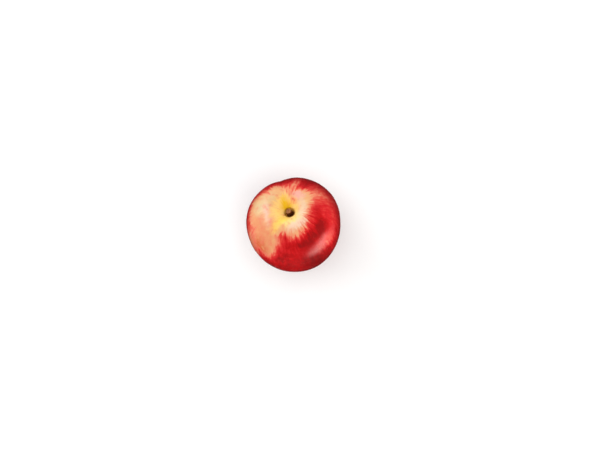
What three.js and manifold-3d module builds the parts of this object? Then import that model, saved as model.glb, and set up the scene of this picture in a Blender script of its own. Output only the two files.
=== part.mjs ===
// A ripe nectarine, as picked: the grown fruit, one solid of skin and flesh, and the short woody
// stub of its stalk, which stands in the pit at the bottom of the stem cavity.
//
// Millimetres, +Z up. The fruit lies on a small flat spot of its own flank at z = 0, with its
// stem axis leaning from the vertical, and the origin is under the middle of its bounding box.

import * as THREE from "three";
import { mergeVertices } from "three/addons/utils/BufferGeometryUtils.js";
import Module from "manifold-3d";

const degrees = THREE.MathUtils.degToRad;

// ---- Driving dimensions ----

// The grown body. Its own frame has +Z along the stem axis, towards the stalk.
const CHEEK_RADIUS = 34.0; // half the width at the widest ring
const BODY_HALF_HEIGHT = 34.0; // mean of the upper and lower half heights, cavity not counted
const APEX_DROP = 0.6; // how much lower than that the apex sits, and how much lower the shoulders
const SHOULDER_FULLNESS = 0.035; // share by which the stem half is wider, and the apex half narrower

// Slow lobes round the stem axis: each adds a share of the radius, highest at its azimuth.
const LOBES = [
  { count: 3, share: 0.0146, azimuth: degrees(46) },
  { count: 4, share: 0.0057, azimuth: degrees(58) },
];

// The funnel that the stalk sits in, and the pit at its floor.
const CAVITY_DEPTH = 12.0; // at the axis, under the crown that the body would have without it
const CAVITY_WIDTH = 9.2; // distance from the axis at which the funnel has lost 63% of its depth
const CAVITY_STRETCH = 0.1; // share by which the funnel is wider on the suture's side
const PIT_DEPTH = 1.3;
const PIT_RADIUS = 3.4;
const PIT_RIM = 0.9; // width of the rounded step down into the pit

// The suture: a broad trough with a fine crease at its bottom, which runs from the cavity over one
// shoulder and down to the apex. The flesh is a little fuller on one side of it.
const SUTURE_AZIMUTH = degrees(107);
const SUTURE_START = 3.0; // distance from the axis where it begins
const SUTURE_RUN_IN = 7.0; // length over which it reaches its full depth
const TROUGH_HALF_WIDTH = 7.0;
const TROUGH_DEPTH = { stem: 1.0, cheek: 0.75, apex: 0.2 };
const CREASE_HALF_WIDTH = 1.7;
const CREASE_DEPTH = { stem: 0.3, cheek: 0.15, apex: 0.3 };
const FULLER_BANK = { stem: 0.3, cheek: 0.25, apex: 0 }; // how far one bank stands above the mean
const FULLER_STEP = 4.5; // half the width over which one bank goes over into the other
const FULLER_REACH = 16.0; // how far from the suture the difference has gone

// The blossom end: a low nipple on the apex.
const NIPPLE_HEIGHT = 0.6;
const NIPPLE_WIDTH = 3.4;

// How the fruit lies.
const LEAN = degrees(25); // of the stem axis from the vertical
const LEAN_AZIMUTH = degrees(111);
const FLAT_SPOT_SAG = 1.0; // height of the cap that the flat spot takes off the flank

// The stub of the stalk: a peg that widens to a foot, and ends in a dished face that was torn askew.
const STUB_FOOT_RADIUS = 2.3;
const STUB_NECK_RADIUS = 1.75;
const STUB_TOP_RADIUS = 1.9;
const STUB_HEIGHT = 3.0;
const STUB_DISH = 0.45; // depth of the dished face
const STUB_TEAR = 0.3; // how much higher than its middle the torn face stands at one edge
const STUB_GAP = 0.3; // between the pit's floor and the stub's foot
const STUB_LEAN = degrees(7);
const STUB_LEAN_AZIMUTH = degrees(150);

// How finely the curved faces are divided.
const SEGMENTS_AROUND = 72;
const SEGMENTS_ALONG = 44;
const STUB_SEGMENTS = 20;

// ---- The fruit's surface, as a formula ----

/** 0 below the start, 1 past the end, and an S-curve between. */
const ramp = THREE.MathUtils.smoothstep;

/** A bell of height 1 with the given width. */
const bell = (distance, width) => Math.exp(-((distance / width) ** 2));

/** The share that the lobes add to the radius. They fade towards the two poles. */
function lobeShare(colatitude, azimuth) {
  return LOBES.reduce(
    (sum, lobe) =>
      sum + lobe.share * Math.sin(colatitude) ** lobe.count * Math.cos(lobe.count * (azimuth - lobe.azimuth)),
    0,
  );
}

/** A depth given at the stem, the cheek and the apex, in between for any colatitude. */
function alongMeridian(depth, colatitude) {
  const end = Math.cos(colatitude) > 0 ? depth.stem : depth.apex;
  return depth.cheek + (end - depth.cheek) * Math.cos(colatitude) ** 2;
}

/** How far the suture moves the surface outwards, at a point beside the axis. */
function sutureRise(colatitude, fromAxis, azimuth) {
  const across = fromAxis * Math.sin(azimuth - SUTURE_AZIMUTH);
  const along = fromAxis * Math.cos(azimuth - SUTURE_AZIMUTH);
  const presence = ramp(along, SUTURE_START, SUTURE_START + SUTURE_RUN_IN);
  const trough = alongMeridian(TROUGH_DEPTH, colatitude) * bell(across, TROUGH_HALF_WIDTH);
  const crease = alongMeridian(CREASE_DEPTH, colatitude) * bell(across, CREASE_HALF_WIDTH);
  const bank =
    alongMeridian(FULLER_BANK, colatitude) * Math.tanh(across / FULLER_STEP) * bell(across, FULLER_REACH);
  return presence * (bank - trough - crease);
}

/** Height of the skin along the stem axis, without pit, suture and nipple. */
function bodyHeight(colatitude, fromAxis, azimuth) {
  const cosine = Math.cos(colatitude);
  const crown = (BODY_HALF_HEIGHT - APEX_DROP * cosine) * cosine;
  const width = CAVITY_WIDTH * (1 + CAVITY_STRETCH * Math.cos(azimuth - SUTURE_AZIMUTH));
  return cosine > 0 ? crown - CAVITY_DEPTH * bell(fromAxis, width) : crown;
}

/** The flat floor of the pit: one step below the funnel at the pit's edge. */
const PIT_FLOOR = bodyHeight(Math.asin(PIT_RADIUS / CHEEK_RADIUS), PIT_RADIUS, SUTURE_AZIMUTH) - PIT_DEPTH;

/** The fruit's skin in its own frame, for a colatitude from the stem and an azimuth about the axis. */
function skinPoint(colatitude, azimuth) {
  const cosine = Math.cos(colatitude);
  const fromAxis =
    CHEEK_RADIUS * Math.sin(colatitude) * (1 + SHOULDER_FULLNESS * cosine) * (1 + lobeShare(colatitude, azimuth));
  let height = bodyHeight(colatitude, fromAxis, azimuth);
  if (cosine > 0) {
    const outOfPit = ramp(fromAxis, PIT_RADIUS - PIT_RIM / 2, PIT_RADIUS + PIT_RIM / 2);
    height = THREE.MathUtils.lerp(PIT_FLOOR, height, outOfPit);
  } else {
    height -= NIPPLE_HEIGHT * bell(fromAxis, NIPPLE_WIDTH);
  }
  const point = new THREE.Vector3(fromAxis * Math.cos(azimuth), fromAxis * Math.sin(azimuth), height);
  return point.setLength(point.length() + sutureRise(colatitude, fromAxis, azimuth));
}

/** Even steps of a sphere's colatitude, drawn closer together in the stem cavity. */
function crowdedToStem(colatitude) {
  const share = colatitude / Math.PI;
  return Math.PI * (0.55 * share + 0.45 * share ** 2);
}

/** The whole skin: a sphere's grid with each vertex carried to its place on the fruit. */
function skinGeometry() {
  const geometry = new THREE.SphereGeometry(1, SEGMENTS_AROUND, SEGMENTS_ALONG);
  geometry.rotateX(Math.PI / 2); // the sphere's pole, +Y, becomes the stem axis, +Z
  const position = geometry.getAttribute("position");
  const vertex = new THREE.Vector3();
  for (let i = 0; i < position.count; i += 1) {
    vertex.fromBufferAttribute(position, i);
    const colatitude = crowdedToStem(Math.acos(THREE.MathUtils.clamp(vertex.z, -1, 1)));
    const azimuth = Math.atan2(vertex.y, vertex.x);
    const place = skinPoint(colatitude, azimuth);
    position.setXYZ(i, place.x, place.y, place.z);
  }
  return onlyPositions(geometry);
}

// ---- The stub's surface ----

/** The stub's peg, standing on its own foot with +Z along it: a profile turned about its axis. */
function stubGeometry() {
  const profile = new THREE.Path();
  profile.moveTo(0, 0);
  profile.lineTo(STUB_FOOT_RADIUS * 0.85, 0);
  profile.quadraticCurveTo(STUB_FOOT_RADIUS * 1.05, STUB_HEIGHT * 0.1, STUB_FOOT_RADIUS * 0.93, STUB_HEIGHT * 0.22);
  profile.quadraticCurveTo(STUB_NECK_RADIUS, STUB_HEIGHT * 0.42, STUB_NECK_RADIUS, STUB_HEIGHT * 0.66);
  profile.quadraticCurveTo(STUB_NECK_RADIUS, STUB_HEIGHT * 0.85, STUB_TOP_RADIUS, STUB_HEIGHT * 0.93);
  profile.quadraticCurveTo(STUB_TOP_RADIUS * 0.97, STUB_HEIGHT, STUB_TOP_RADIUS * 0.8, STUB_HEIGHT);
  profile.quadraticCurveTo(STUB_TOP_RADIUS * 0.45, STUB_HEIGHT - STUB_DISH, 0, STUB_HEIGHT - STUB_DISH);
  const geometry = new THREE.LatheGeometry(profile.getPoints(4), STUB_SEGMENTS);
  geometry.rotateX(Math.PI / 2); // the lathe's axis, +Y, becomes +Z
  const position = geometry.getAttribute("position");
  for (let i = 0; i < position.count; i += 1) {
    const towardsTop = ramp(position.getZ(i), STUB_HEIGHT * 0.5, STUB_HEIGHT);
    position.setZ(i, position.getZ(i) + towardsTop * STUB_TEAR * (position.getX(i) / STUB_TOP_RADIUS));
  }
  return onlyPositions(geometry);
}

// ---- Solids: joins and cuts ----

const wasm = await Module();
wasm.setup();

/** The geometry with one vertex at each place, and nothing but places. */
function onlyPositions(geometry) {
  geometry.deleteAttribute("normal");
  geometry.deleteAttribute("uv");
  return mergeVertices(geometry, 1e-4);
}

/** A closed geometry as a solid that can be cut. */
function toSolid(geometry) {
  const vertProperties = new Float32Array(geometry.getAttribute("position").array);
  const triVerts = new Uint32Array(geometry.index.array);
  return new wasm.Manifold(new wasm.Mesh({ numProp: 3, vertProperties, triVerts }));
}

/** A solid as a geometry. */
function toGeometry(solid) {
  const mesh = solid.getMesh();
  const geometry = new THREE.BufferGeometry();
  geometry.setAttribute("position", new THREE.BufferAttribute(new Float32Array(mesh.vertProperties), 3));
  geometry.setIndex(new THREE.BufferAttribute(new Uint32Array(mesh.triVerts), 1));
  return geometry;
}

/** The turn that tips +Z over by an angle, towards an azimuth. */
function tip(angle, azimuth) {
  const hinge = new THREE.Vector3(-Math.sin(azimuth), Math.cos(azimuth), 0);
  return new THREE.Matrix4().makeRotationAxis(hinge, angle);
}

/** Everything above z = 0: the fruit with its flat spot, a plane cut by a slab under it. */
function cutFlatSpot(geometry) {
  const slabSide = 4 * CHEEK_RADIUS;
  const slab = new THREE.BoxGeometry(slabSide, slabSide, CHEEK_RADIUS);
  slab.translate(0, 0, -CHEEK_RADIUS / 2);
  return toGeometry(toSolid(geometry).subtract(toSolid(onlyPositions(slab))));
}

// ---- Assembly ----

const leaning = tip(LEAN, LEAN_AZIMUTH);

// The fruit tipped over, let down until the flat spot is at z = 0, and cut there.
const skin = skinGeometry().applyMatrix4(leaning);
skin.computeBoundingBox();
const raised = -(skin.boundingBox.min.z + FLAT_SPOT_SAG);
skin.translate(0, 0, raised);
const fruit = cutFlatSpot(skin);

// The stub stands in the pit and is tipped over with the fruit, and a little more by itself.
const stub = stubGeometry()
  .applyMatrix4(tip(STUB_LEAN, STUB_LEAN_AZIMUTH))
  .translate(0, 0, PIT_FLOOR + STUB_GAP + STUB_FOOT_RADIUS * Math.sin(STUB_LEAN))
  .applyMatrix4(leaning)
  .translate(0, 0, raised);

// Both are moved sideways together, to put the origin under the middle of the fruit.
fruit.computeBoundingBox();
const middle = fruit.boundingBox.getCenter(new THREE.Vector3());
for (const geometry of [fruit, stub]) {
  geometry.translate(-middle.x, -middle.y, 0);
  geometry.computeVertexNormals();
}

const skinMaterial = new THREE.MeshStandardMaterial({ color: 0xb5161c, roughness: 0.35, metalness: 0 });
const barkMaterial = new THREE.MeshStandardMaterial({ color: 0x6b4a26, roughness: 0.85, metalness: 0 });

/** A named mesh of one sub-part. */
function subPart(name, geometry, material) {
  const mesh = new THREE.Mesh(geometry, material);
  mesh.name = name;
  return mesh;
}

const nectarine = new THREE.Group();
nectarine.name = "nectarine";
nectarine.add(subPart("fruit", fruit, skinMaterial));
nectarine.add(subPart("stem_stub", stub, barkMaterial));

export default nectarine;
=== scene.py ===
"""A ripe nectarine with the stub of its stalk, lying on a pale studio floor."""

import logging
import math
from dataclasses import dataclass
from enum import Enum
from typing import Any

import bpy
import numpy as np
import numpy.typing as npt
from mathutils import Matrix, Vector


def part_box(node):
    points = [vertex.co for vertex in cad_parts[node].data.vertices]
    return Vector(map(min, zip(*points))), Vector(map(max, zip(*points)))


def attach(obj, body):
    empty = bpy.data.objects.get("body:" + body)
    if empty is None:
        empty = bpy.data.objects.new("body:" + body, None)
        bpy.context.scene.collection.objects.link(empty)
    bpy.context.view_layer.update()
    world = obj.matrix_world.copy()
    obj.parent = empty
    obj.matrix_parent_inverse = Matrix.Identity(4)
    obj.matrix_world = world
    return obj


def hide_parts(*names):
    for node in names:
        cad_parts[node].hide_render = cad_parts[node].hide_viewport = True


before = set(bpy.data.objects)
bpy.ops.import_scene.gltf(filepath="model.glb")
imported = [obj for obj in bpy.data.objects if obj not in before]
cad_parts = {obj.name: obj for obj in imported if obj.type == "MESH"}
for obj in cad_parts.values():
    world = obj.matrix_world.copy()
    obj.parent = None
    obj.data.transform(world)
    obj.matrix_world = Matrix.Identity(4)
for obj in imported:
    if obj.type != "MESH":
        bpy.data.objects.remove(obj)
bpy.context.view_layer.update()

Array = npt.NDArray[np.float64]
Triple = tuple[float, float, float]
Row = tuple[float, ...]

log = logging.getLogger("nectarine")

MM = 0.001
UP: Array = np.array([0.0, 0.0, 1.0])
WHITE: Triple = (1.0, 1.0, 1.0)


class Slot(Enum):
    """The record's material slots."""

    SKIN = "skin"
    STEM_WOOD = "stem_wood"


# ---- Curves, turns and meshes, on whole arrays ----


def bell(distance: Array, width: float | Array) -> Array:
    """A bell of height 1: e to the power of minus the square of distance over width."""
    return np.exp(-((distance / width) ** 2))


def ramp(value: Array, start: float, end: float) -> Array:
    """0 up to the start, 1 from the end on, 3s^2 - 2s^3 of the share s between them."""
    share = np.clip((value - start) / (end - start), 0.0, 1.0)
    return share * share * (3.0 - 2.0 * share)


def waves(place: Array, rows: tuple[Row, ...]) -> Array:
    """A sum of sine waves.

    Args:
        place: where it is read, with the coordinates along the last axis.
        rows: one wave each: its height, its radians to the unit of each coordinate, its phase.

    Returns:
        The sum of each height times the sine of the wave's angle there.
    """
    table = np.array(rows)
    return np.sin(place @ table[:, 1:-1].T + table[:, -1]) @ table[:, 0]


def tip(angle: float, azimuth: float) -> Array:
    """The turn that tips +Z over by an angle towards an azimuth.

    Args:
        angle: how far, in degrees.
        azimuth: towards where, in degrees from +X.

    Returns:
        The turn as a 3 by 3 matrix, by Rodrigues' formula about the level hinge.
    """
    lean, towards = math.radians(angle), math.radians(azimuth)
    x, y = -math.sin(towards), math.cos(towards)
    cross = np.array([[0.0, 0.0, y], [0.0, 0.0, -x], [-y, x, 0.0]])
    return np.eye(3) + math.sin(lean) * cross + (1.0 - math.cos(lean)) * cross @ cross


def directions(colatitude: Array, azimuth: Array) -> Array:
    """Directions by their angles, as on a globe.

    Args:
        colatitude: angle from +Z, in radians.
        azimuth: angle round +Z, from +X, in radians.

    Returns:
        The vectors, of length 1, along a new last axis.
    """
    level = np.sin(colatitude)
    parts = [level * np.cos(azimuth), level * np.sin(azimuth), np.cos(colatitude)]
    return np.stack(parts, axis=-1)


def closed_skin(name: str, rings: Array, first: Array, last: Array) -> bpy.types.Object:
    """Joins rings of points into one closed mesh, with a fan of triangles at each pole.

    Args:
        name: the object's name.
        rings: points in metres, as rings by points round a ring by 3; seen from the first pole,
            a ring runs counterclockwise.
        first: the pole before the first ring.
        last: the pole after the last ring.

    Returns:
        The smooth-shaded object, linked to the scene, its faces outwards.
    """
    count, around = rings.shape[:2]
    here = np.arange(count * around).reshape(count, around)
    right = np.roll(here, -1, axis=1)
    quads = np.stack([here[:-1], here[1:], right[1:], right[:-1]], axis=-1).reshape(-1, 4)
    top = np.stack([np.full(around, count * around), here[0], right[0]], axis=-1)
    bottom = np.stack([np.full(around, count * around + 1), right[-1], here[-1]], axis=-1)
    mesh = bpy.data.meshes.new(name)
    points = np.vstack([rings.reshape(-1, 3), first, last])
    mesh.from_pydata(points.tolist(), [], [*quads.tolist(), *top.tolist(), *bottom.tolist()])
    mesh.shade_smooth()
    made = bpy.data.objects.new(name, mesh)
    bpy.context.scene.collection.objects.link(made)
    return made


def keep_on_vertices(made: bpy.types.Object, name: str, vectors: Array) -> None:
    """Stores one vector per vertex, for the material to read.

    Args:
        made: the object.
        name: the attribute's name.
        vectors: as many rows of three numbers as the mesh has vertices.
    """
    attribute = made.data.attributes.new(name, "FLOAT_VECTOR", "POINT")
    attribute.data.foreach_set("vector", np.ascontiguousarray(vectors, dtype=np.float32).ravel())


# ---- Shader maths ----


class Signal:
    """One value, vector or colour on its way through a material's nodes."""

    def __init__(self, recipe: "Recipe", socket: bpy.types.NodeSocket) -> None:
        """Wraps an output socket of one of the recipe's nodes."""
        self.recipe = recipe
        self.socket = socket

    def _maths(self, operation: str, *operands: "Signal | float | Triple") -> "Signal":
        """Works out one operation.

        Args:
            operation: its name, which both kinds of maths node share.
            operands: what it works on, in order.

        Returns:
            The result of a Vector Math node where a vector takes part, else of a Math node.
        """
        settings = {"operation": operation}
        kinds = {o.socket.type for o in operands if isinstance(o, Signal)}
        if not kinds & {"VECTOR", "RGBA"}:
            return self.recipe.node("ShaderNodeMath", settings, dict(enumerate(operands)))
        spread = [(o, o, o) if isinstance(o, float) else o for o in operands]
        return self.recipe.node("ShaderNodeVectorMath", settings, dict(enumerate(spread)))

    def __add__(self, other: "Signal | float | Triple") -> "Signal":
        """Self plus other."""
        return self._maths("ADD", self, other)

    def __radd__(self, other: "float | Triple") -> "Signal":
        """Other plus self."""
        return self._maths("ADD", other, self)

    def __sub__(self, other: "Signal | float | Triple") -> "Signal":
        """Self minus other."""
        return self._maths("SUBTRACT", self, other)

    def __rsub__(self, other: "float | Triple") -> "Signal":
        """Other minus self."""
        return self._maths("SUBTRACT", other, self)

    def __mul__(self, other: "Signal | float | Triple") -> "Signal":
        """Self times other."""
        return self._maths("MULTIPLY", self, other)

    def __rmul__(self, other: "float | Triple") -> "Signal":
        """Other times self."""
        return self * other

    def larger(self, other: "Signal | float") -> "Signal":
        """The larger of the two values."""
        return self._maths("MAXIMUM", self, other)

    def colatitude(self) -> "Signal":
        """The angle in radians whose cosine this is."""
        return self._maths("ARCCOSINE", self)

    def direction(self) -> "Signal":
        """The vector of length 1 the same way."""
        return self._maths("NORMALIZE", self)

    def length(self) -> "Signal":
        """The vector's length, as a value."""
        return self.recipe.node("ShaderNodeVectorMath", {"operation": "LENGTH"}, {0: self}, "Value")

    def part(self, axis: str) -> "Signal":
        """The vector's X, Y or Z."""
        return self.recipe.node("ShaderNodeSeparateXYZ", {}, {0: self}, axis)

    def between(
        self, start: float, end: float, low: float = 0.0, high: float = 1.0
    ) -> "Signal":
        """A smooth step from low, at the start, to high, at the end.

        Args:
            start: the value that gives low; it may be above the end.
            end: the value that gives high.
            low: the result up to the start.
            high: the result from the end on.

        Returns:
            The stepped value.
        """
        settings = {"interpolation_type": "SMOOTHSTEP"}
        if start > end:
            start, end, low, high = end, start, high, low
        inputs = {0: self, 1: start, 2: end, 3: low, 4: high}
        return self.recipe.node("ShaderNodeMapRange", settings, inputs)


Sockets = dict[int | str, Signal | float | tuple[float, ...]]


class Recipe:
    """The node tree of a material or of the surroundings, built up from one method."""

    def __init__(self, owner: bpy.types.Material | bpy.types.World) -> None:
        """Empties the owner's tree."""
        owner.use_nodes = True
        self.owner = owner
        self.tree = owner.node_tree
        self.tree.nodes.clear()

    def node(
        self, kind: str, settings: dict[str, Any], inputs: Sockets, output: int | str = 0
    ) -> Signal:
        """Adds one node.

        Args:
            kind: the node's type.
            settings: its properties, which are set first; a ramp's stops are place and colour.
            inputs: a value or a link for each socket, by its number or name.
            output: the socket whose signal is returned.

        Returns:
            The signal of that output.
        """
        made = self.tree.nodes.new(kind)
        for key, setting in settings.items():
            if key == "stops":
                self._set_stops(made.color_ramp, setting)
            else:
                setattr(made, key, setting)
        for key, value in inputs.items():
            if isinstance(value, Signal):
                self.tree.links.new(value.socket, made.inputs[key])
            else:
                made.inputs[key].default_value = value
        return Signal(self, made.outputs[output])

    @staticmethod
    def _set_stops(
        colour_ramp: bpy.types.ColorRamp, stops: tuple[tuple[float, Triple], ...]
    ) -> None:
        """Gives a new ramp its stops.

        Args:
            colour_ramp: the ramp, with the two stops that it starts with.
            stops: places from 0 to 1 in rising order, with their colours.
        """
        while len(colour_ramp.elements) < len(stops):
            colour_ramp.elements.new(1.0)
        for element, (place, colour) in zip(colour_ramp.elements, stops):
            element.position = place
            element.color = (*colour, 1.0)

    def attribute(self, name: str) -> Signal:
        """The vector stored on the vertices under that name."""
        return self.node("ShaderNodeAttribute", {"attribute_name": name}, {}, "Vector")

    def noise(
        self, place: Signal, scale: float, detail: float = 2.0, rough: float = 0.5
    ) -> Signal:
        """Cloudy noise from 0 to 1, about 0.5.

        Args:
            place: where it is read.
            scale: features to the unit of place.
            detail: how many finer octaves it has.
            rough: how strong those are.

        Returns:
            The noise as a value.
        """
        inputs = {"Vector": place, "Scale": scale, "Detail": detail, "Roughness": rough}
        return self.node("ShaderNodeTexNoise", {}, inputs)

    def mixed(
        self, share: Signal | float, first: Signal | Triple, second: Signal | Triple
    ) -> Signal:
        """Mixes two colours.

        Args:
            share: how much of the second there is, from 0 to 1.
            first: the colour at share 0.
            second: the colour at share 1.

        Returns:
            The mixed colour.
        """
        first, second = (c if isinstance(c, Signal) else (*c, 1.0) for c in (first, second))
        settings = {"data_type": "RGBA", "blend_type": "MIX"}
        return self.node("ShaderNodeMix", settings, {0: share, 6: first, 7: second}, 2)

    def bump(self, height: Signal, depth: float) -> Signal:
        """A normal bent by a height map that goes from 0 to 1, where 1 is depth metres high."""
        inputs = {"Strength": 1.0, "Distance": depth, "Height": height}
        return self.node("ShaderNodeBump", {}, inputs)

    def finished(self, shader: Signal, output: str) -> bpy.types.Material | bpy.types.World:
        """Leads the shader to the tree's end.

        Args:
            shader: what the tree comes to.
            output: the type of its last node.

        Returns:
            The owner of the tree.
        """
        end = self.tree.nodes.new(output)
        self.tree.links.new(shader.socket, end.inputs["Surface"])
        return self.owner

    def surface(self, sockets: Sockets) -> bpy.types.Material:
        """The material, ended with a Principled shader whose sockets are given by name."""
        shader = self.node("ShaderNodeBsdfPrincipled", {}, sockets)
        return self.finished(shader, "ShaderNodeOutputMaterial")


def linear(red: int, green: int, blue: int) -> Triple:
    """Turns a colour, as a screen gives it, into light.

    Args:
        red: its red, from 0 to 255.
        green: its green, likewise.
        blue: its blue, likewise.

    Returns:
        The shader's linear colour, by the sRGB curve.
    """
    steps = np.array([red, green, blue]) / 255.0
    light = np.where(steps <= 0.04045, steps / 12.92, ((steps + 0.055) / 1.055) ** 2.4)
    return (float(light[0]), float(light[1]), float(light[2]))


# ---- The finishes ----

Step = tuple[float, float, float, float]


@dataclass(frozen=True)
class Area:
    """An oval, soft-edged area of the skin, in degrees as seen from the fruit's middle.

    It lies round the place at azimuth and colatitude, reaches along the meridian by length and
    across it by width, either way, and fades out over the share softness of that reach, inside
    and outside its edge.
    """

    azimuth: float
    colatitude: float
    length: float
    width: float
    softness: float = 0.5
    amount: float = 1.0

    def cover(self, place: Signal) -> Signal:
        """How much of the area covers a place: its amount inside, 0 outside.

        Args:
            place: the direction from the fruit's middle, length about 1.

        Returns:
            The cover, by the place's distance from the oval's middle in its own turned and
            scaled axes.
        """
        towards, down = math.radians(self.azimuth), math.radians(self.colatitude)
        level = math.sin(down)
        middle = (level * math.cos(towards), level * math.sin(towards), math.cos(down))
        length, width = math.radians(self.length), math.radians(self.width)
        reach = (length, width, max(length, width))
        inputs = {0: place, 1: middle, 2: (0.0, down, towards), 3: reach}
        oval = place.recipe.node("ShaderNodeMapping", {"vector_type": "TEXTURE"}, inputs)
        return oval.length().between(1.0 + self.softness, 1.0 - self.softness, 0.0, self.amount)


@dataclass(frozen=True)
class Tint:
    """A colour and the areas that have it."""

    colour: Triple
    areas: tuple[Area, ...]


@dataclass(frozen=True)
class Grain:
    """The size of one kind of noise.

    Scale is its features to the unit, the same every way, or round the stem axis alone where
    down gives those to the radian of a meridian. Detail and rough are its finer octaves and
    their strength.
    """

    scale: float
    detail: float
    rough: float
    down: float = 0.0


class Noise(Enum):
    """The kinds of noise in the skin."""

    STREAKS = Grain(13.0, 3.0, 0.6, down=4.0)
    THREADS = Grain(40.0, 2.0, 0.6, down=8.0)
    CLOUDS = Grain(2.2, 2.0, 0.5)
    BLOTCHES = Grain(5.0, 3.0, 0.55)
    MOTTLE = Grain(8.0, 3.0, 0.6)
    DIMPLES = Grain(14.0, 2.0, 0.5)
    FLECKS = Grain(26.0, 2.0, 0.6)
    TOOTH = Grain(90.0, 2.0, 0.5)


Weights = tuple[tuple[Noise, float], ...]


class Growth:
    """Where a place of the skin is on the fruit, and the noise there.

    All of it comes from the vector "grown" on the vertices: the direction from the fruit's
    middle, in the fruit's own frame, +Z to the stem.
    """

    def __init__(self, recipe: Recipe) -> None:
        """Adds the nodes that read the place."""
        self.recipe = recipe
        self.grown = recipe.attribute("grown")
        level = self.grown * (1.0, 1.0, 0.0)
        cosine = self.grown.part("Z")
        self.spoke = level.direction()
        self.colatitude = cosine.colatitude()
        self.downward = self.spoke * cosine - self.up(level.length())
        self.kept: dict[Noise, Signal] = {}

    def up(self, length: Signal) -> Signal:
        """The vector of that length along the stem axis."""
        return self.recipe.node("ShaderNodeCombineXYZ", {}, {"Z": length})

    def noise(self, kind: Noise) -> Signal:
        """The noise of one kind, whose nodes are added once.

        Args:
            kind: which noise.

        Returns:
            The noise as a value from 0 to 1.
        """
        if kind not in self.kept:
            grain = kind.value
            place, scale = self.grown, grain.scale
            if grain.down > 0.0:
                place = self.spoke * grain.scale + self.up(self.colatitude * grain.down)
                scale = 1.0
            self.kept[kind] = self.recipe.noise(place, scale, grain.detail, grain.rough)
        return self.kept[kind]

    def blend(self, weights: Weights) -> Signal:
        """The sum of some kinds of noise, each times its weight."""
        first, *others = [self.noise(kind) * weight for kind, weight in weights]
        return sum(others, first)

    def swing(self, weights: Weights) -> Signal:
        """The same sum of how far each kind of noise is from its middle, 0.5."""
        return self.blend(weights) - 0.5 * sum(weight for _, weight in weights)

    def drift(self, scale: float, detail: float) -> Signal:
        """A vector that wanders slowly over the skin, up to about 0.5 long."""
        inputs = {"Vector": self.grown, "Scale": scale, "Detail": detail}
        return self.recipe.node("ShaderNodeTexNoise", {}, inputs, "Color") - (0.5, 0.5, 0.5)


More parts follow.
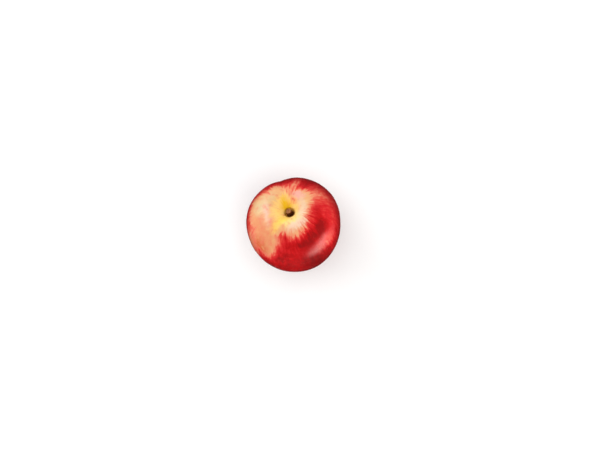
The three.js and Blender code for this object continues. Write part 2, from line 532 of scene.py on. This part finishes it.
@dataclass(frozen=True)
class SkinFinish:
    """Smooth satin skin: a yellow to peach ground under a red blush of uneven density.

    The ground is peach with its tints, two of them painted highlights and one partly painted
    shade. The blush is dense where the skin is ripe and not bare, goes through its stops from thin
    to dense, and lies over the ground. Painted shade on the underside and the lower-right rim comes
    last, then the cork with the painted shadow round the stub.
    A step gives the start, end, low and high of Signal.between.
    """

    peach: Triple = linear(222, 164, 114)
    tints: tuple[Tint, ...] = (
        Tint(linear(250, 205, 118), (Area(150, 4, 15, 17, 0.5, 1.0),)),
        Tint(linear(232, 208, 130), (Area(285, 12, 12, 13, 0.5, 0.9),)),
        Tint(
            linear(216, 138, 96),
            (Area(222, 50, 24, 20, 0.6, 0.9), Area(200, 42, 10, 10, 0.7, 0.6)),
        ),
        Tint(linear(196, 72, 34), (Area(225, 70, 14, 15, 0.8, 0.9),)),
        Tint(linear(190, 104, 60), (Area(208, 84, 10, 17, 0.6, 0.9),)),
        Tint(
            linear(206, 184, 140),
            (Area(172, 35, 9, 9, 0.9, 0.85), Area(146, 28, 7, 8, 0.8, 0.5)),
        ),
        # Pinkish: a painted highlight where the key lamp shines on the left shoulder.
        Tint(linear(228, 182, 158), (Area(192, 26, 4, 12, 0.9, 0.8),)),
        Tint(
            linear(232, 198, 172),
            (Area(304, 24, 5, 14, 0.6, 0.9), Area(348, 17, 5, 9, 0.8, 0.8)),
        ),
        Tint(linear(218, 184, 152), (Area(20, 18, 5, 9, 0.8, 0.8),)),
        # Pink lilac: a painted highlight on the shoulder beside the cavity.
        Tint(linear(228, 158, 154), (Area(60, 22, 4, 8, 0.7, 0.8),)),
        Tint(
            linear(238, 204, 92),
            (Area(243, 14, 9, 5, 0.6, 0.9), Area(238, 26, 8, 4, 0.8, 0.7)),
        ),
        # Deeper yellow on the cavity's far wall: partly the skin's own yellow, partly painted
        # shade.
        Tint(
            linear(236, 186, 20),
            (Area(112, 8, 6, 6, 0.5, 1.0), Area(110, 14, 5, 3.5, 0.7, 0.7)),
        ),
    )
    bare: tuple[Area, ...] = (
        Area(272, 8, 26, 25, 0.45),
        Area(35, 10, 17, 18, 0.6),
        Area(186, 30, 28, 30, 0.6),
        Area(128, 20, 20, 16, 0.7),
        Area(226, 47, 26, 19, 0.6, 0.9),
        Area(210, 68, 28, 17, 0.8, 0.7),
        Area(244, 24, 14, 9, 0.4),
    )
    blush: tuple[tuple[float, Triple], ...] = (
        (0.00, linear(232, 156, 120)),
        (0.28, linear(222, 110, 88)),
        (0.46, linear(212, 66, 54)),
        (0.62, linear(200, 30, 34)),
        (0.80, linear(178, 10, 14)),
        (1.00, linear(140, 6, 8)),
    )
    thinner: tuple[Area, ...] = (
        Area(36, 36, 18, 14, 0.9, 0.45),
        Area(78, 40, 12, 5, 0.9, 0.42),
        # Thinner blush under the painted highlight beside the cavity.
        Area(58, 22, 3.5, 7, 0.8, 0.2),
        Area(104, 34, 8, 12, 0.9, 0.12),
        Area(236, 58, 14, 12, 0.7, 0.3),
        Area(296, 38, 8, 14, 0.9, 0.25),
        Area(335, 72, 10, 12, 0.8, 0.1),
        Area(314, 65, 10, 20, 0.8, 0.35),
        Area(10, 65, 18, 25, 0.8, 0.2),
        Area(130, 75, 20, 35, 0.6, 0.2),
    )
    denser: tuple[Area, ...] = (
        Area(62, 15, 3.5, 5, 0.8, 0.4),
        Area(60, 42, 14, 6, 0.8, 0.15),
        Area(318, 48, 12, 18, 0.6, 0.25),
        # These two deepen the blush on the lower-right flank: partly the skin's blush, partly
        # painted shade.
        Area(300, 76, 24, 14, 0.9, 0.15),
        Area(262, 76, 18, 14, 0.9, 0.1),
    )
    # Painted shade: dark crimson over the lower-right rim and, darkest, over the underside and
    # flanks, where light falls off.
    painted_shade: tuple[Tint, ...] = (
        Tint(linear(96, 3, 4), (Area(300, 82, 22, 15, 0.9, 0.6),)),
        Tint(linear(44, 2, 4), (Area(100, 154, 95, 95, 0.1, 0.7),)),
    )
    # The cork scar in the pit: golden brown, then dark brown towards the lower right that is partly
    # the dark scar, partly the stub's painted shadow.
    cork_and_painted_shadow: tuple[Tint, ...] = (
        Tint(linear(178, 120, 24), (Area(318, 1.1, 6.7, 6.6, 0.2, 0.85),)),
        Tint(linear(78, 28, 4), (Area(313, 2.8, 5.2, 4.8, 0.25, 0.95),)),
    )
    polish: tuple[Area, ...] = (
        Area(319, 65, 8, 21, 0.55, 0.58),
        Area(185, 29, 9, 16, 0.7, 0.5),
    )

    # How far the edges of areas wander and run down the meridians, and those of the cork with its
    # painted shadow and of the polish.
    drift_scale: float = 3.2
    drift_detail: float = 3.0
    wander: float = 0.14
    run: Weights = ((Noise.STREAKS, 0.22), (Noise.THREADS, 0.08))
    fray_wander: float = 0.03
    fray_run: Weights = ((Noise.FLECKS, 0.05),)

    # The blush's density: a step over the colatitude, uneven, and less by the pale mottle.
    ripe: Step = (math.radians(60.0), math.radians(110.0), 0.80, 0.86)
    uneven: Weights = (
        (Noise.STREAKS, 0.50),
        (Noise.THREADS, 0.20),
        (Noise.CLOUDS, 0.20),
        (Noise.BLOTCHES, 0.20),
        (Noise.FLECKS, 0.12),
    )
    pale_mottle: Step = (0.50, 0.68, 0.0, 0.10)
    blush_edge: Step = (0.04, 0.42, 0.0, 1.0)

    # The ground's mottle: where the noise is high it blushes, where it is low it is creamy.
    flush: Triple = linear(220, 104, 84)
    flush_mottle: Step = (0.50, 0.70, 0.0, 0.45)
    cream: Triple = linear(240, 208, 146)
    cream_mottle: Step = (0.48, 0.30, 0.0, 0.20)

    # The pores: round the middles of cells, in the blush alone.
    pore: Triple = linear(238, 150, 120)
    pore_scale: float = 15.0
    pore_edge: Step = (0.10, 0.05, 0.0, 1.0)
    pore_blush: Step = (0.3, 0.6, 0.0, 0.20)

    # The wax that makes it shine, less on a slant, and the roughness under it, more on a slant.
    wax: float = 0.03
    uneven_wax: Weights = ((Noise.DIMPLES, 0.12), (Noise.FLECKS, 0.08))
    wax_slant: Step = (0.25, 0.60, 1.0, 0.0)
    polish_grain: Weights = ((Noise.DIMPLES, 1.0), (Noise.FLECKS, 1.0))
    polish_slant: Step = (0.70, 0.90, 1.0, 0.0)
    roughness: float = 0.42
    uneven_roughness: Weights = ((Noise.BLOTCHES, 0.16),)
    roughness_slant: Step = (0.40, 0.70, 0.0, 0.3)
    cork_roughness: float = 0.4

    # The fine relief, as shares of relief_depth.
    relief_depth: float = MM
    relief: Weights = (
        (Noise.STREAKS, 0.05),
        (Noise.THREADS, 0.02),
        (Noise.DIMPLES, 0.10),
        (Noise.TOOTH, 0.014),
    )

    @staticmethod
    def tinted(under: Signal | Triple, tints: tuple[Tint, ...], place: Signal) -> Signal:
        """Lays tints over a colour, one area after the other.

        Args:
            under: the colour underneath.
            tints: what is laid over it.
            place: where the areas are read.

        Returns:
            The colour with its tints.
        """
        for tint in tints:
            for area in tint.areas:
                under = place.recipe.mixed(area.cover(place), under, tint.colour)
        return under

    def density(self, growth: Growth, place: Signal) -> Signal:
        """How dense the blush is.

        Args:
            growth: the skin's places and noise.
            place: where the areas are read.

        Returns:
            The density, from 0, none, to 1, the ripest.
        """
        bare = self.bare[0].cover(place)
        for area in self.bare[1:]:
            bare = bare.larger(area.cover(place))
        density = (1.0 - bare) * growth.colatitude.between(*self.ripe) + growth.swing(self.uneven)
        density = density - growth.noise(Noise.MOTTLE).between(*self.pale_mottle)
        for area in self.thinner:
            density = density - area.cover(place)
        for area in self.denser:
            density = density + area.cover(place)
        return density

    def colours(self, growth: Growth, place: Signal, density: Signal) -> Signal:
        """The colour of the skin without its cork and the painted shadow round the stub.

        Args:
            growth: the skin's places and noise.
            place: where the areas are read.
            density: how dense the blush is.

        Returns:
            The mottled ground, with the blush, the painted shade and the pores over it.
        """
        recipe, mottle = growth.recipe, growth.noise(Noise.MOTTLE)
        ground = self.tinted(self.peach, self.tints, place)
        ground = recipe.mixed(mottle.between(*self.flush_mottle), ground, self.flush)
        ground = recipe.mixed(mottle.between(*self.cream_mottle), ground, self.cream)
        blush = recipe.node("ShaderNodeValToRGB", {"stops": self.blush}, {"Fac": density})
        colour = recipe.mixed(density.between(*self.blush_edge), ground, blush)
        colour = self.tinted(colour, self.painted_shade, growth.grown)
        inputs = {"Vector": growth.grown, "Scale": self.pore_scale}
        cells = recipe.node("ShaderNodeTexVoronoi", {}, inputs, "Distance")
        pores = cells.between(*self.pore_edge) * density.between(*self.pore_blush)
        return recipe.mixed(pores, colour, self.pore)

    def make(self) -> bpy.types.Material:
        """Builds the material.

        Returns:
            The skin, which reads the vector "grown" from the vertices.
        """
        recipe = Recipe(bpy.data.materials.new("nectarine_skin"))
        growth = Growth(recipe)
        drift = growth.drift(self.drift_scale, self.drift_detail)
        place = growth.grown + drift * self.wander + growth.downward * growth.swing(self.run)
        frayed = growth.grown + drift * self.fray_wander
        frayed = frayed + growth.downward * growth.swing(self.fray_run)
        colour = self.colours(growth, place, self.density(growth, place))
        colour = self.tinted(colour, self.cork_and_painted_shadow, frayed)
        # Cover of the dark cork and painted shadow round the stub: rougher there, and without wax.
        cork_and_shadow_cover = self.cork_and_painted_shadow[-1].areas[0].cover(frayed)
        slant = recipe.node("ShaderNodeLayerWeight", {}, {"Blend": 0.5}, "Facing")
        wax = (self.wax + growth.blend(self.uneven_wax)) * slant.between(*self.wax_slant)
        grain = growth.blend(self.polish_grain) * slant.between(*self.polish_slant)
        for area in self.polish:
            wax = wax + area.cover(frayed) * grain
        roughness = self.roughness + growth.blend(self.uneven_roughness)
        roughness = roughness + cork_and_shadow_cover * self.cork_roughness + slant.between(*self.roughness_slant)
        return recipe.surface(
            {
                "Base Color": colour,
                "Roughness": roughness,
                "IOR": 1.40,
                "Specular IOR Level": 0.03,
                "Coat Weight": wax * (1.0 - cork_and_shadow_cover),
                "Coat Roughness": 0.28,
                "Coat IOR": 1.45,
                "Subsurface Weight": 0.06,
                "Subsurface Radius": (1.0, 0.35, 0.2),
                "Subsurface Scale": 0.002,
                "Normal": recipe.bump(growth.blend(self.relief), self.relief_depth),
            }
        )


@dataclass(frozen=True)
class StubFinish:
    """Dry bark round torn wood, both with cracks."""

    bark: Triple = linear(116, 62, 20)
    crack: Triple = linear(50, 16, 4)
    wood: Triple = linear(188, 128, 84)
    fibre_scale: Triple = (4.0, 4.0, 3.0)
    crumb_scale: Triple = (7.0, 7.0, 16.0)
    ragged: float = 0.2
    bark_end: Step = (0.62, 0.76, 0.0, 1.0)
    bark_cracks: Step = (0.62, 0.38, 0.0, 1.0)
    wood_cracks: Step = (0.56, 0.36, 0.0, 1.0)
    fibre_relief: float = 0.6
    relief_depth: float = 0.4 * MM

    def make(self) -> bpy.types.Material:
        """Builds the material.

        Returns:
            The stub's wood, which reads the vector "turned" from the vertices: the cosine and
            sine of the turn round the stub, and how far up and in it is, 0 at the foot, 1 at the
            middle of the torn face.
        """
        recipe = Recipe(bpy.data.materials.new("stem_wood"))
        turned = recipe.attribute("turned")
        fibres = recipe.noise(turned * self.fibre_scale, 1.0, detail=3.0, rough=0.65)
        crumbs = recipe.noise(turned * self.crumb_scale, 1.0, detail=2.0, rough=0.6)
        torn = (turned.part("Z") + (fibres - 0.5) * self.ragged).between(*self.bark_end)
        side = recipe.mixed(fibres.between(*self.bark_cracks), self.bark, self.crack)
        face = recipe.mixed(crumbs.between(*self.wood_cracks), self.wood, self.crack)
        relief = fibres * self.fibre_relief + crumbs * (1.0 - self.fibre_relief)
        return recipe.surface(
            {
                "Base Color": recipe.mixed(torn, side, face),
                "Roughness": 0.82,
                "Specular IOR Level": 0.12,
                "Normal": recipe.bump(relief, self.relief_depth),
            }
        )


@dataclass(frozen=True)
class FloorFinish:
    """Matt white card."""

    colour: Triple = (0.96, 0.96, 0.96)
    cloud_scale: float = 3.0
    roughness: float = 0.86
    cloud_roughness: float = 0.08

    def make(self) -> bpy.types.Material:
        """Builds the material.

        Returns:
            The card, with the faintest unevenness in its sheen.
        """
        recipe = Recipe(bpy.data.materials.new("floor_card"))
        place = recipe.node("ShaderNodeTexCoord", {}, {}, "Object")
        cloud = recipe.noise(place, self.cloud_scale) * self.cloud_roughness
        colour = (*self.colour, 1.0)
        return recipe.surface(
            {"Base Color": colour, "Roughness": self.roughness + cloud, "Specular IOR Level": 0.0}
        )


# ---- The fruit ----


@dataclass(frozen=True)
class Meridian:
    """A size in millimetres that changes along a meridian, from stem over cheek to apex."""

    stem: float
    cheek: float
    apex: float

    def at(self, colatitude: Array) -> Array:
        """The cheek's size, which goes over into the end's with the square of the cosine."""
        end = np.where(np.cos(colatitude) > 0.0, self.stem, self.apex)
        return self.cheek + (end - self.cheek) * np.cos(colatitude) ** 2


@dataclass(frozen=True)
class Lobe:
    """A slow swelling round the stem axis: so many rises, each a share of the radius high."""

    count: int
    share: float
    azimuth: float

    def swelling(self, sine: Array, azimuth: Array) -> Array:
        """The share times a cosine round the axis and a power of the colatitude's sine."""
        turn = self.count * (azimuth - math.radians(self.azimuth))
        return self.share * sine**self.count * np.cos(turn)


@dataclass(frozen=True)
class Suture:
    """A broad trough with a fine crease in it along one meridian, and one bank fuller."""

    azimuth: float = 107.0
    start: float = 3.0
    run_in: float = 7.0
    trough_width: float = 7.0
    trough: Meridian = Meridian(1.0, 0.75, 0.2)
    crease_width: float = 1.7
    crease: Meridian = Meridian(0.3, 0.15, 0.3)
    bank: Meridian = Meridian(0.3, 0.25, 0.0)
    bank_step: float = 4.5
    bank_reach: float = 16.0

    def rise(self, colatitude: Array, from_axis: Array, azimuth: Array) -> Array:
        """How far it moves the skin outwards: bank, less trough, less crease.

        Args:
            colatitude: angle from the stem, in radians.
            from_axis: distance from the stem axis, in millimetres.
            azimuth: angle round the stem axis, in radians.

        Returns:
            The rise in millimetres.
        """
        off = azimuth - math.radians(self.azimuth)
        across, along = from_axis * np.sin(off), from_axis * np.cos(off)
        trough = self.trough.at(colatitude) * bell(across, self.trough_width)
        crease = self.crease.at(colatitude) * bell(across, self.crease_width)
        bank = self.bank.at(colatitude) * np.tanh(across / self.bank_step)
        bank = bank * bell(across, self.bank_reach)
        return ramp(along, self.start, self.start + self.run_in) * (bank - trough - crease)


@dataclass(frozen=True)
class Fruit:
    """The grown body, in millimetres and degrees, lying on its flank."""

    cheek_radius: float = 34.0
    half_height: float = 34.0
    apex_drop: float = 0.6
    shoulder_fullness: float = 0.035
    lobes: tuple[Lobe, ...] = (Lobe(3, 0.0146, 46.0), Lobe(4, 0.0057, 58.0))
    cavity_depth: float = 12.0
    cavity_width: float = 9.2
    cavity_stretch: float = 0.1
    pit_depth: float = 1.3
    pit_radius: float = 3.4
    pit_rim: float = 0.9
    suture: Suture = Suture()
    nipple_height: float = 0.6
    nipple_width: float = 3.4
    lean: float = 25.0
    lean_azimuth: float = 111.0
    foot_softness: float = 0.25
    wave_height: float = 0.07
    swells: tuple[Row, ...] = (
        (1.0, 5.3, 3.1, -2.2, 0.4),
        (1.0, -3.7, 6.1, 2.9, 1.9),
        (0.7, 7.9, -5.2, 6.3, 3.3),
        (0.5, -8.1, 11.3, 9.7, 0.0),
        (0.175, 15.1, -14.3, 20.6, 2.9708),
        (0.175, 15.1, 14.3, 6.8, 1.2292),
    )
    crease_height: float = 0.04
    crease_ring: float = 0.19
    crease_spread: float = 0.07
    crease_count: float = 17.0
    crease_waver: float = 3.0
    around: int = 320
    along: int = 200
    crowding: float = 0.45
    survey: tuple[int, int] = (121, 181)

    def body_height(self, colatitude: Array, from_axis: Array, azimuth: Array) -> Array:
        """Height along the stem axis: the crown's cosine curve, less the cavity's bell.

        Args:
            colatitude: angle from the stem, in radians.
            from_axis: distance from the stem axis, in millimetres.
            azimuth: angle round the stem axis, in radians.

        Returns:
            The height in millimetres, from the fruit's middle.
        """
        cosine = np.cos(colatitude)
        crown = (self.half_height - self.apex_drop * cosine) * cosine
        off = azimuth - math.radians(self.suture.azimuth)
        width = self.cavity_width * (1.0 + self.cavity_stretch * np.cos(off))
        return crown - np.where(cosine > 0.0, self.cavity_depth * bell(from_axis, width), 0.0)

    def pit_floor(self) -> float:
        """Finds the pit's flat floor, one step under the funnel at the pit's edge.

        Returns:
            Its height in millimetres, from the fruit's middle.
        """
        edge = math.asin(self.pit_radius / self.cheek_radius)
        at_suture = math.radians(self.suture.azimuth)
        edges = [np.array(v) for v in (edge, self.pit_radius, at_suture)]
        return float(self.body_height(*edges)) - self.pit_depth

    def skin(self, colatitude: Array, azimuth: Array) -> Array:
        """The skin in the fruit's own frame.

        The distance from the axis is the cheek radius times the sine of the colatitude, fuller
        towards the stem, times 1 plus the lobes' cosines. The height is the body's, with the pit
        and the nipple. Then the suture and the unevenness move the point in or out from the
        middle.

        Args:
            colatitude: angle from the stem, in radians.
            azimuth: angle round the stem axis, in radians.

        Returns:
            The points, in millimetres.
        """
        sine, cosine = np.sin(colatitude), np.cos(colatitude)
        share = sum(lobe.swelling(sine, azimuth) for lobe in self.lobes)
        fullness = (1.0 + self.shoulder_fullness * cosine) * (1.0 + share)
        from_axis = self.cheek_radius * sine * fullness
        height = self.body_height(colatitude, from_axis, azimuth)
        rim = self.pit_rim / 2.0
        out_of_pit = ramp(from_axis, self.pit_radius - rim, self.pit_radius + rim)
        in_pit = self.pit_floor() + (height - self.pit_floor()) * out_of_pit
        nippled = height - self.nipple_height * bell(from_axis, self.nipple_width)
        height = np.where(cosine > 0.0, in_pit, nippled)
        x, y = from_axis * np.cos(azimuth), from_axis * np.sin(azimuth)
        point = np.stack([x, y, height], axis=-1)
        length = np.linalg.norm(point, axis=-1)
        rise = self.suture.rise(colatitude, from_axis, azimuth)
        rise = rise + self.unevenness(colatitude, azimuth)
        return point * ((length + rise) / length)[..., None]

    def unevenness(self, colatitude: Array, azimuth: Array) -> Array:
        """Slow, slight rises and falls of the skin, and fine creases that run into the pit.

        The first are waves of the direction from the middle. The creases are a cosine round the
        axis, whose turns waver, under a ring-shaped bell a little outside the pit.

        Args:
            colatitude: angle from the stem, in radians.
            azimuth: angle round the stem axis, in radians.

        Returns:
            The rise in millimetres.
        """
        swell = waves(directions(colatitude, azimuth), self.swells)
        turns = self.crease_count * azimuth + self.crease_waver * np.sin(2.0 * azimuth)
        ring = bell(np.sin(colatitude) - self.crease_ring, self.crease_spread)
        return self.wave_height * swell + self.crease_height * np.cos(turns) * ring

    def build(self) -> bpy.types.Object:
        """Makes the fruit, dresses it, and puts it in the place of its CAD node.

        Its rings lie closer together towards the stem: the colatitude is pi times a blend of the
        step and its square.

        Returns:
            The fruit's object.
        """
        steps = np.arange(1, self.along) / self.along
        colatitude = np.pi * ((1.0 - self.crowding) * steps + self.crowding * steps**2)
        turns = np.arange(self.around) * (2.0 * np.pi / self.around)
        down, round_axis = np.meshgrid(colatitude, turns, indexing="ij")
        rings = self.placed(self.skin(down, round_axis))
        poles = self.placed(self.skin(np.array([0.0, np.pi]), np.zeros(2)))
        made = closed_skin("fruit_skin", rings * MM, poles[0] * MM, poles[1] * MM)
        grown = directions(down, round_axis).reshape(-1, 3)
        keep_on_vertices(made, "grown", np.vstack([grown, UP, -UP]))
        made.data.materials.append(SkinFinish().make())
        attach(made, "root")
        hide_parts("fruit")
        return made

    def placed(self, points: Array) -> Array:
        """Points of the fruit's own frame, leaned, lifted and moved to where the CAD node lies.

        The height above the floor is softened to (h + root(h^2 + s^2)) / 2, which flattens the
        resting spot.

        Args:
            points: in millimetres, in the fruit's own frame.

        Returns:
            The points in the row frame, in millimetres.
        """
        lying = points @ tip(self.lean, self.lean_azimuth).T + self.shift()
        height = lying[..., 2]
        lying[..., 2] = (height + np.sqrt(height**2 + self.foot_softness**2)) / 2.0
        return lying

    def shift(self) -> Array:
        """Finds the move that brings the leaned body's top and sides onto the CAD node's.

        Returns:
            The move in millimetres.
        """
        colatitude = np.linspace(0.0, np.pi, self.survey[0])
        turns = np.linspace(0.0, 2.0 * np.pi, self.survey[1])
        body = self.skin(*np.meshgrid(colatitude, turns)) @ tip(self.lean, self.lean_azimuth).T
        low, high = body.min(axis=(0, 1)), body.max(axis=(0, 1))
        cad_low, cad_high = (np.array(corner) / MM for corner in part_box("fruit"))
        middle = (cad_low + cad_high - low - high) / 2.0
        return np.array([middle[0], middle[1], cad_high[2] - high[2]])


# ---- The stub of the stalk ----


@dataclass(frozen=True)
class StemStub:
    """The woody peg in the pit, in millimetres and degrees."""

    foot_radius: float = 2.3
    neck_radius: float = 1.75
    top_radius: float = 1.9
    axis_radius: float = 0.02
    height: float = 3.0
    dish: float = 0.45
    tear: float = 0.3
    tear_start: float = 0.5
    chip: float = 0.16
    chips: tuple[Row, ...] = (
        (0.5, 4.1, -3.7, 3.4708),
        (0.5, 4.1, 3.7, -0.8708),
        (0.5, 8.3, -6.1, 0.0),
    )
    fibre: float = 0.05
    fibres: tuple[Row, ...] = (
        (0.45, 7.0, 0.8, 0.0),
        (0.35, 12.0, -1.1, 1.0),
        (0.2, 23.0, 2.0, 0.0),
    )
    gap: float = 0.3
    sunk: float = 0.7
    lean: float = 7.0
    lean_azimuth: float = 150.0
    around: int = 96
    along: int = 90
    smoothing: int = 3

    def profile(self) -> Array:
        """Radius and height from under the foot, up the side and over the rim to the face.

        Returns:
            The corners of the outline, blended by passes that average each point with its
            neighbours.
        """
        foot, neck, top = self.foot_radius, self.neck_radius, self.top_radius
        corners = np.array(
            [
                (self.axis_radius, -self.sunk),
                (foot * 0.86, -self.sunk),
                (foot, 0.2),
                (foot * 0.92, 0.65),
                (neck * 1.02, 1.2),
                (neck, self.height * 0.7),
                (top, self.height * 0.92),
                (top * 0.9, self.height),
                (top * 0.5, self.height - self.dish * 0.75),
                (self.axis_radius, self.height - self.dish),
            ]
        )
        lengths = np.linalg.norm(np.diff(corners, axis=0), axis=1)
        steps = np.concatenate([[0.0], np.cumsum(lengths)])
        places = np.linspace(0.0, steps[-1], self.along)
        line = np.stack([np.interp(places, steps, axis) for axis in corners.T], axis=-1)
        for _ in range(self.smoothing):
            line[1:-1] = (line[:-2] + 2.0 * line[1:-1] + line[2:]) / 4.0
        return line

    def build(self, fruit: Fruit) -> bpy.types.Object:
        """Makes the stub, dresses it, and puts it in the place of its CAD node.

        Each ring of the profile is turned about the axis. Its radius swells and shrinks with the
        waves of the fibres, round the peg and up it. Towards the top the face rises to one side,
        which is the tear, and is broken up by the waves of the chips across it.

        Args:
            fruit: the fruit whose pit it stands in.

        Returns:
            The stub's object.
        """
        line = self.profile()
        turns = np.arange(self.around) * (2.0 * np.pi / self.around)
        radius, turn = np.meshgrid(line[:, 0], turns, indexing="ij")
        height, _ = np.meshgrid(line[:, 1], turns, indexing="ij")
        upward, _ = np.meshgrid(np.linspace(0.0, 1.0, self.along), turns, indexing="ij")
        fibrous = waves(np.stack([turn, height], axis=-1), self.fibres)
        radius = radius * (1.0 + self.fibre * fibrous)
        x, y = radius * np.cos(turn), radius * np.sin(turn)
        chipped = self.chip * waves(np.stack([x, y], axis=-1), self.chips)
        torn = ramp(height, self.height * self.tear_start, self.height)
        height = height + torn * (self.tear * x / self.top_radius + chipped)
        peg = np.stack([x, y, height], axis=-1) @ tip(self.lean, self.lean_azimuth).T
        lift = self.gap + self.foot_radius * math.sin(math.radians(self.lean))
        peg[..., 2] += fruit.pit_floor() + lift
        rings = (peg @ tip(fruit.lean, fruit.lean_azimuth).T + fruit.shift()) * MM
        face, foot = rings[-1].mean(axis=0), rings[0].mean(axis=0)
        made = closed_skin("stem_stub_wood", rings[::-1], face, foot)
        turned = np.stack([np.cos(turn), np.sin(turn), upward], axis=-1)[::-1].reshape(-1, 3)
        keep_on_vertices(made, "turned", np.vstack([turned, UP, np.zeros(3)]))
        made.data.materials.append(StubFinish().make())
        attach(made, "root")
        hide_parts("stem_stub")
        return made


# ---- The studio ----


@dataclass(frozen=True)
class Softbox:
    """A rectangular lamp; angles in degrees, lengths in metres, power in watts."""

    name: str
    azimuth: float
    elevation: float
    distance: float
    width: float
    height: float
    power: float
    colour: Triple = WHITE

    def build(self, aim: Vector) -> bpy.types.Object:
        """Makes the lamp.

        Args:
            aim: the point that it faces.

        Returns:
            The lamp's object.
        """
        lamp = bpy.data.lights.new(self.name, "AREA")
        lamp.shape, lamp.size, lamp.size_y = "RECTANGLE", self.width, self.height
        lamp.energy, lamp.color = self.power, self.colour
        made = bpy.data.objects.new(self.name, lamp)
        down, towards = math.radians(90.0 - self.elevation), math.radians(self.azimuth)
        ray = Vector(directions(np.array(down), np.array(towards)))
        made.location = aim + ray * self.distance
        made.rotation_euler = ray.to_track_quat("Z", "Y").to_euler()
        bpy.context.scene.collection.objects.link(made)
        return made


@dataclass(frozen=True)
class Studio:
    """The floor, the lamps and the camera overhead; lengths in metres."""

    floor_side: float = 24.0
    middle_height: float = 0.033
    tent: float = 1.0
    lamps: tuple[Softbox, ...] = (
        Softbox("key", 153.0, 25.0, 1.1, 1.1, 0.8, 5.0),
        Softbox("low_panel", -38.0, 7.6, 1.2, 1.2, 0.32, 9.0, (1.0, 0.9, 0.8)),
        Softbox("accent", 58.0, 18.0, 1.2, 0.3, 0.25, 1.4),
    )
    lens: float = 100.0
    sensor: float = 36.0
    camera_distance: float = 1.197
    camera_offset: tuple[float, float] = (0.00476, -0.00019)

    def build(self) -> None:
        """Makes the floor, the lamps, the surroundings and the camera."""
        scene = bpy.context.scene
        scene.view_settings.view_transform = "Standard"
        self.build_floor()
        for lamp in self.lamps:
            lamp.build(Vector((0.0, 0.0, self.middle_height)))
        scene.world = self.build_surroundings()
        scene.camera = self.build_camera()

    def build_surroundings(self) -> bpy.types.World:
        """Builds the surroundings.

        Returns:
            An even white tent all round.
        """
        recipe = Recipe(bpy.data.worlds.new("tent"))
        inputs = {"Color": (*WHITE, 1.0), "Strength": self.tent}
        glow = recipe.node("ShaderNodeBackground", {}, inputs)
        return recipe.finished(glow, "ShaderNodeOutputWorld")

    def build_floor(self) -> bpy.types.Object:
        """Builds the floor.

        Returns:
            A flat square of card under the fruit.
        """
        half = self.floor_side / 2.0
        mesh = bpy.data.meshes.new("floor")
        signs = ((-1, -1), (1, -1), (1, 1), (-1, 1))
        mesh.from_pydata([(half * x, half * y, 0.0) for x, y in signs], [], [(0, 1, 2, 3)])
        mesh.materials.append(FloorFinish().make())
        made = bpy.data.objects.new("floor", mesh)
        bpy.context.scene.collection.objects.link(made)
        return made

    def build_camera(self) -> bpy.types.Object:
        """Builds the camera.

        Returns:
            A long lens that looks straight down, with the fruit a little left of the middle.
        """
        camera = bpy.data.cameras.new("overhead_view")
        camera.lens, camera.sensor_width = self.lens, self.sensor
        made = bpy.data.objects.new("overhead_view", camera)
        made.location = (*self.camera_offset, self.middle_height + self.camera_distance)
        bpy.context.scene.collection.objects.link(made)
        return made


def main() -> None:
    """Builds the studio, the fruit and the stub."""
    logging.basicConfig(level=logging.INFO, format="%(name)s: %(message)s")
    Studio().build()
    fruit = Fruit()
    pieces = [fruit.build(), StemStub().build(fruit)]
    for piece in pieces:
        log.info("%s: %d faces", piece.name, len(piece.data.polygons))


if __name__ == "__main__":
    main()
